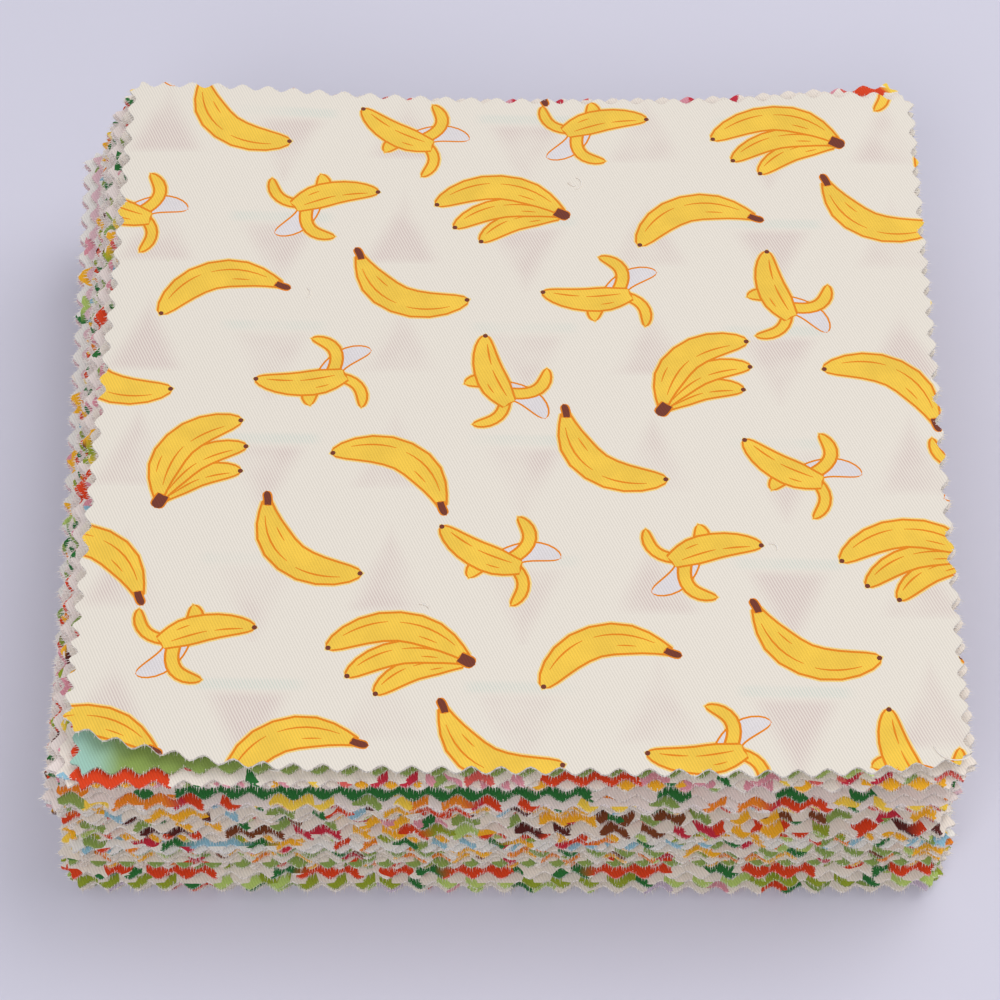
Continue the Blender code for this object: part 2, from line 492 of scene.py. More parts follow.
class TwillWeave(Effect):
    """The steep ribs of a cotton twill with the threads that cross them."""

    title = "Twill Weave"
    takes = (
        ("Place", "NodeSocketVector", None),
        ("Rib Pitch", "NodeSocketFloat", 0.000325),
        ("Thread Pitch", "NodeSocketFloat", 0.00026),
    )
    gives = (("Rib", "NodeSocketFloat"), ("Height", "NodeSocketFloat"), ("Slub", "NodeSocketFloat"))
    across = (0.903, 0.429, 0.0)
    along = (-0.429, 0.903, 0.0)
    slub_scale = 900.0
    slub_sway = 0.35
    slub_rise = 0.5
    thread_lean = 0.5
    thread_rise = 0.16

    def draw(self, board: NodeBoard, source: Node, result: Node) -> None:
        """Draws ribs as a sine across them, broken by the threads and by slubs.

        Args:
            board: The group's nodes.
            source: The group's inputs.
            result: The group's outputs.
        """
        place = source.outputs["Place"]
        slub = board.noise(place, self.slub_scale, 3.0)
        over = board.vector("DOT_PRODUCT", place, self.across)
        turns = board.math("DIVIDE", over, source.outputs["Rib Pitch"])
        sway = board.math("MULTIPLY_ADD", slub, self.slub_sway, turns)
        rib = board.math("SINE", board.math("MULTIPLY", sway, math.tau))
        rib = board.math("MULTIPLY_ADD", rib, 0.5, 0.5)
        up = board.vector("DOT_PRODUCT", place, self.along)
        steps = board.math("DIVIDE", up, source.outputs["Thread Pitch"])
        steps = board.math("MULTIPLY_ADD", turns, self.thread_lean, steps)
        thread = board.math("SINE", board.math("MULTIPLY", steps, math.tau))
        height = board.math("MULTIPLY_ADD", thread, self.thread_rise, rib)
        height = board.math("MULTIPLY_ADD", slub, self.slub_rise, height)
        board.feed(result.inputs["Rib"], rib)
        board.feed(result.inputs["Height"], height)
        board.feed(result.inputs["Slub"], slub)


class TossedPrint(Effect):
    """Rounded motifs thrown over the cloth, each with a random pick for its ink."""

    title = "Tossed Print"
    takes = (
        ("Place", "NodeSocketVector", None),
        ("Seed", "NodeSocketFloat", 0.0),
        ("Spacing", "NodeSocketFloat", 0.006),
        ("Size", "NodeSocketFloat", 0.36),
    )
    gives = (("Mask", "NodeSocketFloat"), ("Pick", "NodeSocketFloat"))
    seed_aside = 1.7
    bend_scale = 1.6
    bend_reach = (0.7, 0.7, 0.0)

    def draw(self, board: NodeBoard, source: Node, result: Node) -> None:
        """Draws the motifs as cells of a pattern whose place is bent by noise.

        Args:
            board: The group's nodes.
            source: The group's inputs.
            result: The group's outputs.
        """
        scale = board.math("DIVIDE", 1.0, source.outputs["Spacing"])
        shifted = board.add("CombineXYZ")
        board.feed(shifted.inputs["X"], source.outputs["Seed"])
        board.feed(shifted.inputs["Y"], board.math("MULTIPLY", source.outputs["Seed"], self.seed_aside))
        flat = board.vector("MULTIPLY", source.outputs["Place"], (1.0, 1.0, 0.0))
        place = board.add("VectorMath", operation="SCALE")
        board.feed(place.inputs[0], flat)
        board.feed(place.inputs["Scale"], scale)
        place = board.vector("ADD", place.outputs["Vector"], shifted.outputs["Vector"])
        bend = board.add("TexNoise")
        board.feed(bend.inputs["Vector"], place)
        bend.inputs["Scale"].default_value = self.bend_scale
        bend.inputs["Detail"].default_value = 1.0
        bent = board.vector("MULTIPLY_ADD", bend.outputs["Color"], self.bend_reach, place)
        cells = board.add("TexVoronoi", voronoi_dimensions="2D")
        board.feed(cells.inputs["Vector"], bent)
        cells.inputs["Scale"].default_value = 1.0
        pick = board.add("SeparateColor")
        board.feed(pick.inputs[0], cells.outputs["Color"])
        mask = board.math("GREATER_THAN", source.outputs["Size"], cells.outputs["Distance"])
        board.feed(result.inputs["Mask"], mask)
        board.feed(result.inputs["Pick"], pick.outputs[0])


class CutFibres(Effect):
    """The pale fibres that a cut edge shows."""

    title = "Cut Fibres"
    takes = (("Place", "NodeSocketVector", None), ("Cover", "NodeSocketFloat", 0.6))
    gives = (("Share", "NodeSocketFloat"), ("Height", "NodeSocketFloat"))
    upright = (1.0, 1.0, 0.3)
    fibre_scale = 5200.0
    patch_scale = 420.0

    def draw(self, board: NodeBoard, source: Node, result: Node) -> None:
        """Draws fine upright streaks.

        Args:
            board: The group's nodes.
            source: The group's inputs.
            result: The group's outputs.
        """
        stretched = board.vector("MULTIPLY", source.outputs["Place"], self.upright)
        fine = board.noise(stretched, self.fibre_scale)
        patchy = board.noise(source.outputs["Place"], self.patch_scale)
        share = board.spread(fine, 0.35, 0.65, -0.25, 0.25)
        share = board.math("ADD", share, source.outputs["Cover"])
        share = board.math("ADD", share, board.spread(patchy, 0.35, 0.65, -0.15, 0.15), clamp=True)
        board.feed(result.inputs["Share"], share)
        board.feed(result.inputs["Height"], fine)


class ShowThrough(Effect):
    """The faint wedges and bars of the piece below that show through the top cloth."""

    title = "Show Through"
    takes = (
        ("Place", "NodeSocketVector", None),
        ("Columns", "NodeSocketFloat", 0.0305),
        ("Rows", "NodeSocketFloat", 0.0170),
    )
    gives = (("Wedge", "NodeSocketFloat"), ("Bar", "NodeSocketFloat"))
    wedge_half = 0.0048
    wedge_tall = 0.0105
    side_fade = (-0.0012, 0.0020)
    foot_fade = (-0.0005, 0.0012)
    bar_below = 0.0009
    bar_fade = (0.0003, 0.0011)
    bar_end = (0.0050, 0.0072)
    far = 20.0

    def draw(self, board: NodeBoard, source: Node, result: Node) -> None:
        """Draws upright wedges in one set of columns and hanging ones between them.

        Args:
            board: The group's nodes.
            source: The group's inputs.
            result: The group's outputs.
        """
        parts = board.add("SeparateXYZ")
        board.feed(parts.inputs[0], source.outputs["Place"])
        wedges, bars = [], []
        for offset, flip in ((0.0, 1.0), (0.5, -1.0)):
            column = board.math("DIVIDE", parts.outputs["X"], source.outputs["Columns"])
            column = board.math("ADD", column, offset + self.far)
            nearest = board.math("SUBTRACT", column, board.math("ROUND", column))
            away = board.math("ABSOLUTE", board.math("MULTIPLY", nearest, source.outputs["Columns"]))
            row = board.math("DIVIDE", parts.outputs["Y"], source.outputs["Rows"])
            row = board.math("FRACT", board.math("ADD", row, 0.5 * offset + self.far))
            tall = board.math("MULTIPLY", row, source.outputs["Rows"])
            if flip < 0.0:
                tall = board.math("SUBTRACT", self.wedge_tall, tall)
            left = board.math("SUBTRACT", self.wedge_tall, tall)
            room = board.math("MULTIPLY", left, self.wedge_half / self.wedge_tall)
            inside = board.spread(board.math("SUBTRACT", room, away), *self.side_fade, 0.0, 1.0)
            above = board.spread(tall, *self.foot_fade, 0.0, 1.0)
            wedges.append(board.math("MULTIPLY", inside, above))
            apart = board.math("ABSOLUTE", board.math("ADD", tall, self.bar_below))
            near = board.spread(apart, *self.bar_fade, 1.0, 0.0)
            wide = board.spread(away, *self.bar_end, 1.0, 0.0)
            bars.append(board.math("MULTIPLY", near, wide))
        board.feed(result.inputs["Wedge"], board.math("MAXIMUM", wedges[0], wedges[1]))
        board.feed(result.inputs["Bar"], board.math("MAXIMUM", bars[0], bars[1]))


class Finish:
    """What the cloth finishes share: a cotton surface with a twill in its bump."""

    roughness = 0.86
    sheen = 0.12
    sheen_roughness = 0.5
    specular = 0.25
    bump = 0.42
    # Painted shade: how dark the colour is made in the grooves between the twill ribs
    rib_groove_shade = 0.88

    def open(self, name: str) -> tuple[Material, NodeBoard, Node]:
        """Starts a material with its Principled shader set for cotton.

        Args:
            name: The material's name.

        Returns:
            The material, its nodes and its shader.
        """
        material = bpy.data.materials.new(name)
        material.use_nodes = True
        board = NodeBoard(material.node_tree)
        shader = material.node_tree.nodes["Principled BSDF"]
        shader.inputs["Roughness"].default_value = self.roughness
        shader.inputs["Sheen Weight"].default_value = self.sheen
        shader.inputs["Sheen Roughness"].default_value = self.sheen_roughness
        shader.inputs["Specular IOR Level"].default_value = self.specular
        return material, board, shader

    def raise_threads(self, board: NodeBoard, shader: Node, height: object, rise: float) -> None:
        """Feeds the shader's normal from a height.

        Args:
            board: The material's nodes.
            shader: Its Principled shader.
            height: The height from 0 to 1.
            rise: What a height of 1 is, in metres.
        """
        bump = board.add("Bump")
        bump.inputs["Strength"].default_value = self.bump
        bump.inputs["Distance"].default_value = rise
        board.feed(bump.inputs["Height"], height)
        board.feed(shader.inputs["Normal"], bump.outputs["Normal"])


@dataclass(frozen=True)
class PrintedCotton(Finish):
    """A pale cotton with a small tossed print, and its cut edge and its back."""

    name: str
    ground: Dye
    inks: tuple[Dye, ...]
    spacing: float = 0.006
    size: float = 0.32
    seed: float = 0.0
    show_through: bool = False
    ragged_scale: float = 2600.0
    ragged_reach: float = 0.3
    ink_line: tuple[float, float] = (0.62, 0.70)
    wedge_shift: tuple[float, float, float] = (0.0115, 0.0130, 0.0)
    bar_share: float = 0.55
    gaps: tuple[float, float, float, float] = (0.1, 0.9, 0.80, 0.24)
    patch_scale: float = 90.0
    patches: tuple[float, float, float, float] = (0.36, 0.62, 0.25, 1.0)
    fibre_cover: float = 0.12
    # Painted shade on the cut edge: how the fibre streaks map to a darkening of its colour, standing for the
    # shadow between the threads
    comb_shade: tuple[float, float, float, float] = (0.38, 0.60, 0.62, 1.0)
    back_fade: float = 0.78
    face_rise: float = 0.00004
    edge_rise: float = 0.0001
    back_rise: float = 0.00008

    def printed(self, board: NodeBoard, place: object) -> object:
        """Draws the print's colour without its threads.

        Args:
            board: The material's nodes.
            place: The place on the cloth.

        Returns:
            The colour.
        """
        motifs = TossedPrint().place(board, Place=place, Seed=self.seed, Spacing=self.spacing, Size=self.size)
        ramp = board.add("ValToRGB")
        ramp.color_ramp.interpolation = "CONSTANT"
        steps = ramp.color_ramp.elements
        while len(steps) < len(self.inks):
            steps.new(0.5)
        for index, ink in enumerate(self.inks):
            steps[index].position = index / len(self.inks)
            steps[index].color = (*ink.value, 1.0)
        board.feed(ramp.inputs["Fac"], motifs.outputs["Pick"])
        colour = board.blend(motifs.outputs["Mask"], self.ground, ramp.outputs["Color"])
        blot = board.add("Attribute", attribute_name="dye")
        share = blot.outputs["Alpha"]
        ink = board.vector("DIVIDE", blot.outputs["Color"], board.math("MAXIMUM", share, 0.02))
        ragged = board.noise(place, self.ragged_scale)
        ragged = board.math("MULTIPLY_ADD", ragged, self.ragged_reach, share)
        return board.blend(board.spread(ragged, *self.ink_line, 0.0, 1.0), colour, ink)

    def face(self) -> Material:
        """Makes the printed side.

        Returns:
            The face's material.
        """
        material, board, shader = self.open(f"{self.name}_face")
        place = board.add("TexCoord").outputs["Object"]
        weave = TwillWeave().place(board, Place=place)
        colour = self.printed(board, place)
        if self.show_through:
            shapes = ShowThrough().place(board, Place=board.vector("ADD", place, self.wedge_shift))
            gaps = board.spread(weave.outputs["Rib"], *self.gaps)
            patchy = board.spread(board.noise(place, self.patch_scale), *self.patches)
            gaps = board.math("MULTIPLY", gaps, patchy)
            colour = board.blend(board.math("MULTIPLY", shapes.outputs["Wedge"], gaps), colour, Dye.PALE_ROSE)
            faint = board.math("MULTIPLY", gaps, self.bar_share)
            colour = board.blend(board.math("MULTIPLY", shapes.outputs["Bar"], faint), colour, Dye.PALE_TEAL)
        # Painted shade in the grooves between the twill ribs
        shade = board.spread(weave.outputs["Rib"], 0.0, 0.7, self.rib_groove_shade, 1.0)
        colour = board.blend(1.0, colour, shade, "MULTIPLY")
        board.feed(shader.inputs["Base Color"], colour)
        self.raise_threads(board, shader, weave.outputs["Height"], self.face_rise)
        return material

    def edge(self) -> Material:
        """Makes the cut edge, where the print has bled into pale fibres, with painted shade in upright
        streaks between the threads.

        Returns:
            The edge's material.
        """
        material, board, shader = self.open(f"{self.name}_edge")
        place = board.add("TexCoord").outputs["Object"]
        fibres = CutFibres().place(board, Place=place, Cover=self.fibre_cover)
        colour = board.blend(fibres.outputs["Share"], self.printed(board, place), Dye.WHITE)
        # Painted shade: the fibre streaks darken the edge's colour in upright dashes, standing for the shadow
        # between the threads
        comb_shade = board.spread(fibres.outputs["Height"], *self.comb_shade)
        colour = board.blend(1.0, colour, comb_shade, "MULTIPLY")
        board.feed(shader.inputs["Base Color"], colour)
        self.raise_threads(board, shader, fibres.outputs["Height"], self.edge_rise)
        return material

    def back(self) -> Material:
        """Makes the unprinted side, where the print only just shows.

        Returns:
            The back's material.
        """
        material, board, shader = self.open(f"{self.name}_back")
        place = board.add("TexCoord").outputs["Object"]
        weave = TwillWeave().place(board, Place=place)
        colour = board.blend(self.back_fade, self.printed(board, place), Dye.CREAM)
        board.feed(shader.inputs["Base Color"], colour)
        self.raise_threads(board, shader, weave.outputs["Height"], self.back_rise)
        return material

    def layers(self) -> list[Material]:
        """Returns face, edge and back, made once for each print."""
        kept = [bpy.data.materials.get(f"{self.name}_{side}") for side in ("face", "edge", "back")]
        return kept if kept[0] else [self.face(), self.edge(), self.back()]


@dataclass(frozen=True)
class PrintedInk(Finish):
    """One flat ink of the fruit print on the twill."""

    name: str
    tint: Dye
    mottle: float = 0.05
    mottle_scale: float = 260.0
    rise: float = 0.00008

    def make(self) -> Material:
        """Makes the ink's material.

        Returns:
            The material.
        """
        material, board, shader = self.open(self.name)
        place = board.add("TexCoord").outputs["Object"]
        weave = TwillWeave().place(board, Place=place)
        # Painted shade in the grooves between the twill ribs
        shade = board.spread(weave.outputs["Rib"], 0.0, 0.7, self.rib_groove_shade, 1.0)
        cloud = board.spread(board.noise(place, self.mottle_scale, 3.0), 0.3, 0.7, 1.0 - self.mottle, 1.0)
        colour = board.blend(1.0, self.tint, shade, "MULTIPLY")
        colour = board.blend(1.0, colour, cloud, "MULTIPLY")
        board.feed(shader.inputs["Base Color"], colour)
        self.raise_threads(board, shader, weave.outputs["Height"], self.rise)
        return material


@dataclass(frozen=True)
class LooseThread(Finish):
    """The pale cotton threads that stick out of a cut edge."""

    name: str = "thread_ends"
    tint: Dye = Dye.WHITE
    mottle_scale: float = 1400.0
    rise: float = 0.00003

    def make(self) -> Material:
        """Makes the thread's material once.

        Returns:
            The material.
        """
        kept = bpy.data.materials.get(self.name)
        if kept:
            return kept
        material, board, shader = self.open(self.name)
        place = board.add("TexCoord").outputs["Object"]
        mottle = board.noise(place, self.mottle_scale)
        colour = board.blend(board.spread(mottle, 0.3, 0.7, 0.0, 1.0), self.tint, Dye.CREAM)
        board.feed(shader.inputs["Base Color"], colour)
        self.raise_threads(board, shader, mottle, self.rise)
        return material


@dataclass(frozen=True)
class Heap:
    """How the pieces of the stack lie: the relief of its top and the height of each piece."""

    lifts: tuple[tuple[float, float, float, float], ...] = LIFTS

    def relief(self, x: float, y: float) -> float:
        """How far the top of the heap stands above or below its level at a place in the plan.

        Args:
            x: The place across, before the stack's shift.
            y: The place back, before the stack's shift.

        Returns:
            The height, which is negative below the level.
        """
        from_left = x / CUT_SIDE + 0.5
        from_front = y / CUT_SIDE + 0.5
        rise = 0.0
        for across, back, height, reach in self.lifts:
            away = math.hypot(from_left - across, from_front - back) / reach
            rise += height * math.exp(-away * away)
        return rise

    def height(self, order: int, x: float, y: float) -> float:
        """The height of one piece's underside at a place before the stack's shift."""
        share = min(1.0, order / (PLIES * (len(SOLIDS) - 1)))
        return order * PLY_PITCH + share * self.relief(x, y)


@dataclass
class PinkedSheet:
    """One thin piece of cloth with a pinked edge, and its frayed thread ends."""

    order: int
    heap: Heap
    print: PrintedCotton
    slot: str
    nudge: tuple[float, float, float] = (0.0, 0.0, 0.0)
    trim: float = 0.0
    cells: int = 24
    ring_to_mat: float = 0.0036
    rounding: float = 0.58
    rim_reach: float = 0.0022
    green: GreenRim = GreenRim()
    thread_pitch: float = 0.00031
    thread_jitter: float = 0.12
    thread_length: tuple[float, float] = (0.00045, 0.00095)
    thread_girth: tuple[float, float] = (0.000055, 0.00008)
    thread_sway: float = 9.0
    thread_droop: tuple[float, float] = (-0.75, 0.05)
    thread_level: tuple[float, float] = (0.3, 0.95)
    thread_root: float = 0.0002
    table_clearance: float = 0.00002

    def __post_init__(self) -> None:
        """Works out the piece's cut size and place from its solid."""
        level, ply = divmod(self.order, PLIES)
        row = SOLIDS[level]
        self.node = f"sheet_{level + 1:02d}"
        self.name = f"cloth_{level + 1:02d}_{'abc'[ply]}"
        self.width = row[3] * MM - 2.0 * self.trim
        self.depth = row[4] * MM - 2.0 * self.trim
        self.sweeps = (row[5] * MM, row[6] * MM)
        self.front_back = FRONT_BACK.get(self.order, USUAL_FRONT_BACK) * MM
        turn = Matrix.Rotation(math.radians(row[2] + self.nudge[2]), 4, "Z")
        shift = Vector((row[0] * MM + self.nudge[0], row[1] * MM + self.nudge[1], 0.0))
        self.lay = Matrix.Translation(shift) @ turn

    def bend_edge(self, place: Vector) -> Vector:
        """Draws the front corners back and hollows the back edge, as the solids have it.

        Args:
            place: A place on the straight outline, which is moved.

        Returns:
            The same place.
        """
        front = smooth_step(-4.0 * place.y / self.depth - 1.0)
        back = smooth_step(4.0 * place.y / self.depth - 1.0)
        for sweep, away in zip(self.sweeps, (place.x + self.width / 2, self.width / 2 - place.x)):
            place.y += front * sweep * max(0.0, 1.0 - away / (self.width * SWEEP_SHARE)) ** 2
        place.y += front * self.front_back
        place.y -= back * BACK_BOW * math.cos(math.pi * place.x / self.width)
        if self.order == BACK_ORDER:
            share = (place.x / self.width - 0.5) / FLARE_SHARE + 1.0
            place.y += back * BACK_FLARE * smooth_step(share)
        return place

    def zigzag(self) -> list[Vector]:
        """The sharp zigzag, counter-clockwise from the front left corner.

        Returns:
            The tips and valleys of the teeth.
        """
        corners = [
            Vector((across * self.width / 2, back * self.depth / 2))
            for across, back in ((-1, -1), (1, -1), (1, 1), (-1, 1))
        ]
        steps = 2 * TEETH_PER_SIDE
        places = []
        for side, start in enumerate(corners):
            run = corners[(side + 1) % 4] - start
            along = run.normalized()
            inwards = Vector((-along.y, along.x))
            for step in range(steps):
                if step == 0:
                    place = start + (along + inwards) * TOOTH_DEPTH
                else:
                    place = start + run * (step / steps) + inwards * (0.0 if step % 2 else TOOTH_DEPTH)
                places.append(place)
        return places

    def outline(self) -> list[Vector]:
        """The cut edge with rounded teeth, four points to each side of a tooth.

        Returns:
            The edge's points, counter-clockwise from the front left corner.
        """
        sharp = self.zigzag()
        rounded = []
        for index, tip in enumerate(sharp):
            before = (sharp[index - 1] + tip) / 2
            after = (sharp[(index + 1) % len(sharp)] + tip) / 2
            first = tip.lerp(before, self.rounding)
            last = tip.lerp(after, self.rounding)
            rounded += [first, (first + 2.0 * tip + last) / 4.0, last, after]
        return [self.bend_edge(place) for place in rounded]

    def drop(self, work: BMesh) -> None:
        """Turns, shifts and lowers the flat piece onto the heap.

        Args:
            work: The flat piece.
        """
        bmesh.ops.transform(work, matrix=self.lay, verts=work.verts)
        for vertex in work.verts:
            vertex.co.z += self.heap.height(self.order, vertex.co.x, vertex.co.y)
        bmesh.ops.translate(work, vec=STACK_SHIFT, verts=work.verts)

    def thicken(self, work: BMesh) -> None:
        """Gives the piece its thickness and sorts face, edge and back.

        Args:
            work: The piece, lying on the heap.
        """
        faces = list(work.faces)
        raised = bmesh.ops.extrude_face_region(work, geom=faces)["geom"]
        verts = [part for part in raised if isinstance(part, BMVert)]
        bmesh.ops.translate(work, vec=(0.0, 0.0, CLOTH_THICKNESS), verts=verts)
        bmesh.ops.recalc_face_normals(work, faces=work.faces)
        for face in work.faces:
            if abs(face.normal.z) < EDGE_SLOPE:
                face.material_index = 1
            elif face.normal.z < 0.0:
                face.material_index = 2
            face.smooth = True
        for edge in work.edges:
            if len({face.material_index == 1 for face in edge.link_faces}) == 2:
                edge.smooth = False

    def rim_repeat(self, place: Vector) -> tuple[EdgeRepeat | None, float]:
        """Finds the repeat that runs along the nearest edge.

        Args:
            place: The place from the piece's middle.

        Returns:
            The repeat or None, and the place along it in millimetres.
        """
        to_side = self.width / 2 - abs(place.x)
        to_end = self.depth / 2 - abs(place.y)
        if min(to_side, to_end) > TOOTH_DEPTH + self.rim_reach or self.order >= TOP_ORDER:
            return None, 0.0
        at_front = place.y < (FRONT_CORNERS * CUT_SIDE if self.order == BACK_ORDER else 0.0)
        if at_front and (to_end < to_side or self.order == BACK_ORDER):
            return FRONT_REPEATS.get(self.order), place.x / MM
        if to_end < to_side and self.order >= PLAIN_BACK_FROM:
            repeat = BACK_CORNER if place.x > BACK_CORNER_FROM * CUT_SIDE else BACK_REPEAT
            return repeat if self.order == BACK_ORDER else None, place.x / MM
        if to_end > to_side and place.x > 0.0 and self.order >= PLAIN_RIGHT_FROM:
            return None, 0.0
        if to_end > to_side and self.order in BLUSH_ORDERS:
            return BLUSH_REPEAT, 0.0
        run = place.x if to_end < to_side else place.y
        return SIDE_REPEATS[self.order % len(SIDE_REPEATS)], run / MM + STAGGER * self.order

    def rim_ink(self, place: Vector) -> tuple[float, float, float, float]:
        """The repeat's ink at a place of the flat piece, with its share.

        Args:
            place: The place from the piece's middle.

        Returns:
            Red, green and blue, and how much of the ink there is.
        """
        if self.order == GREEN_ORDER and place.y < self.green.front[0]:
            return self.green.ink_at(place)
        repeat, run = self.rim_repeat(place)
        ink = repeat.ink_at(run) if repeat else None
        if ink is None:
            return NO_INK
        return (*(Vector(ink.value) * repeat.depth), repeat.depth)

    def print_rim(self, work: BMesh) -> None:
        """Writes the larger motifs into the colour attribute that the prints read.

        Args:
            work: The flat piece.
        """
        layer = work.verts.layers.float_color.new("dye")
        for vertex in work.verts:
            vertex[layer] = self.rim_ink(vertex.co)

    def build(self) -> Object:
        """Makes the piece of cloth.

        Returns:
            The cloth's object.
        """
        outline = self.outline()
        work = bmesh.new()
        half = min(self.width, self.depth) / 2 - TOOTH_DEPTH - self.ring_to_mat
        back_off = max(self.sweeps) * 0.5
        bmesh.ops.create_grid(work, x_segments=self.cells, y_segments=self.cells, size=half)
        bmesh.ops.scale(work, vec=(1.0, 1.0 - back_off / (2 * half), 1.0), verts=work.verts)
        bmesh.ops.translate(work, vec=(0.0, back_off / 2, 0.0), verts=work.verts)
        rim = [edge for edge in work.edges if edge.is_boundary]
        ring = bmesh.ops.create_circle(work, segments=len(outline), radius=CUT_SIDE)["verts"]
        for vertex, place in zip(ring, outline):
            vertex.co = (place.x, place.y, 0.0)
        teeth = list({edge for vertex in ring for edge in vertex.link_edges})
        bmesh.ops.triangle_fill(work, use_beauty=True, edges=rim + teeth)
        self.print_rim(work)
        self.drop(work)
        self.thicken(work)
        return finished(work, self.name, self.print.layers())

    def thread_feet(self, chance: random.Random) -> list[tuple[Vector, tuple[int, int]]]:
        """Finds where thread ends stand along the cut, as regular as the weave.

        Args:
            chance: The piece's random draws.

        Returns:
            The places, each with its way out.
        """
        outline = self.outline()
        count = len(outline)
        feet = []
        for index, start in enumerate(outline):
            following = outline[(index + 1) % count]
            side = index // (count // 4)
            sparse = 3.0 if side == 0 and self.order == TOP_ORDER else 1.0
            run = (following - start)[side % 2]
            first, last = sorted((start[side % 2], following[side % 2]))
            step = math.ceil(first / (self.thread_pitch * sparse))
            while step * self.thread_pitch * sparse < last:
                share = (step * self.thread_pitch * sparse - start[side % 2]) / run
                share += chance.gauss(0.0, self.thread_jitter)
                feet.append((start.lerp(following, share), ((0, -1), (1, 0), (0, 1), (-1, 0))[side]))
                step += 1
        return feet

    def fringe(self) -> Object:
        """Makes the frayed ends of the threads, which stick out along the weave.

        Returns:
            The threads' object.
        """
        chance = random.Random(1000 + self.order)
        ends = []
        for root, out in self.thread_feet(chance):
            length = chance.uniform(*self.thread_length)
            sway = math.radians(chance.gauss(0.0, self.thread_sway))
            aim = (Matrix.Rotation(sway, 2) @ Vector(out)).to_3d()
            aim.z = chance.uniform(*self.thread_droop)
            aim.normalize()
            level = chance.uniform(*self.thread_level) * CLOTH_THICKNESS
            foot = root.to_3d() - aim * self.thread_root + Vector((0.0, 0.0, level))
            girth = chance.uniform(*self.thread_girth)
            turn = aim.to_track_quat("Z", "Y").to_matrix().to_4x4()
            ends.append(Matrix.Translation(foot) @ turn @ Matrix.Diagonal((girth, girth, length, 1.0)))
        work = bmesh.new()
        spike = thread_end()
        for _ in ends:
            work.from_mesh(spike)
        work.verts.ensure_lookup_table()
        corners = len(spike.vertices)
        for number, place in enumerate(ends):
            for corner in range(corners):
                vertex = work.verts[number * corners + corner]
                vertex.co = place @ vertex.co
        self.drop(work)
        for vertex in work.verts:
            vertex.co.z = max(vertex.co.z, self.table_clearance)
        return finished(work, f"threads_{self.name[6:]}", [LooseThread().make()])

    def lay_down(self, below: str) -> str:
        """Args:
            below: The name of what the piece lies on, or nothing for the lowest.

        Returns:
            The name of the piece.
        """
        cloth = self.build()
        threads = self.fringe()
        for part in (cloth, threads):
            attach(part, "root")
            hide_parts(self.node)
        log.info("%s lies on %s", cloth.name, below or "the table")
        return cloth.name


class Ink(Enum):
    """What fills a cut of the fruit print: its place among the top piece's materials."""

    GROUND = 0
    HALO = 3
    LINE = 4
    FRUIT = 5
    BROWN = 6
    FLESH = 7


@dataclass(frozen=True)
class Patch:
    """One closed shape of the print, in millimetres, with what fills it."""

    points: tuple[Point, ...]
    ink: Ink


# How the figures are drawn: the step that gives a shape's heading, where its neck ends, its thinnest
# half width, and the steps of a stroke with the width left at its ends
HEADING_STEP = 0.01
NECK_SHARE = 0.36
THINNEST = 0.04
STROKE_STEPS = 6
STROKE_END = 0.35


@dataclass(frozen=True)
class Crescent:
    """A bowed shape that leaves its stem in one direction, in millimetres and degrees."""

    length: float
    bow: float
    girth: float
    turn: float = 0.0
    foot: Point = (0.0, 0.0)
    neck: float = 0.26
    blunt: float = 0.42

    def spine(self, share: float) -> Vector:
        """A place on the middle line, from 0 at the stem to 1 at the tip."""
        place = Vector((self.length * share, self.bow * 4.0 * share * (1.0 - share)))
        return Vector(self.foot) + Matrix.Rotation(math.radians(self.turn), 2) @ place

    def heading(self, share: float) -> Vector:
        """The direction of the middle line."""
        return (self.spine(share + HEADING_STEP) - self.spine(share - HEADING_STEP)).normalized()

    def half_width(self, share: float) -> float:
        """Half the width across the middle line, with a thin neck and a rounded tip.

        Args:
            share: The place along the shape, from 0 at the stem to 1 at the tip.

        Returns:
            The half width.
        """
        neck = self.neck + (1.0 - self.neck) * math.sin(math.pi / 2 * min(1.0, share / NECK_SHARE))
        past = max(0.0, (share - (1.0 - self.blunt)) / self.blunt)
        return self.girth / 2 * neck * math.sqrt(max(0.0, 1.0 - past * past))

    def beside(self, share: float, offset: float) -> Point:
        """A place beside the middle line, to its left for a positive offset.

        Args:
            share: The place along the shape.
            offset: How far beside the line.

        Returns:
            The place.
        """
        ahead = self.heading(share)
        place = self.spine(share) + Vector((-ahead.y, ahead.x)) * offset
        return (place.x, place.y)

    def outline(self, swell: float = 0.0, samples: int = 12) -> tuple[Point, ...]:
        """The closed outline, grown by the swell.

        Args:
            swell: How far the outline is grown all round.
            samples: The steps along each side.

        Returns:
            The outline's points.
        """
        shares = [0.5 - 0.5 * math.cos(math.pi * index / samples) for index in range(samples + 1)]
        halves = [max(THINNEST, self.half_width(share) + swell) for share in shares]
        left = [self.beside(share, half) for share, half in zip(shares, halves)]
        right = [self.beside(share, -half) for share, half in zip(shares, halves)]
        start = self.spine(0.0) - self.heading(0.0) * swell
        end = self.spine(1.0) + self.heading(1.0) * swell
        return (tuple(start), *left, tuple(end), *reversed(right))

    def stroke(self, start: float, end: float, side: float, width: float) -> tuple[Point, ...]:
        """A tapered line along the shape.

        Args:
            start: Where the line starts along the shape.
            end: Where it ends.
            side: How far beside the middle it runs, as a share of the half width.
            width: Its width in the middle.

        Returns:
            The line's outline.
        """
        upper, lower = [], []
        for index in range(STROKE_STEPS + 1):
            share = start + (end - start) * index / STROKE_STEPS
            middle = side * self.half_width(share)
            swing = math.sin(math.pi * index / STROKE_STEPS)
            half = width / 2 * (STROKE_END + (1.0 - STROKE_END) * swing)
            upper.append(self.beside(share, middle + half))
            lower.append(self.beside(share, middle - half))
        return (*upper, *reversed(lower))


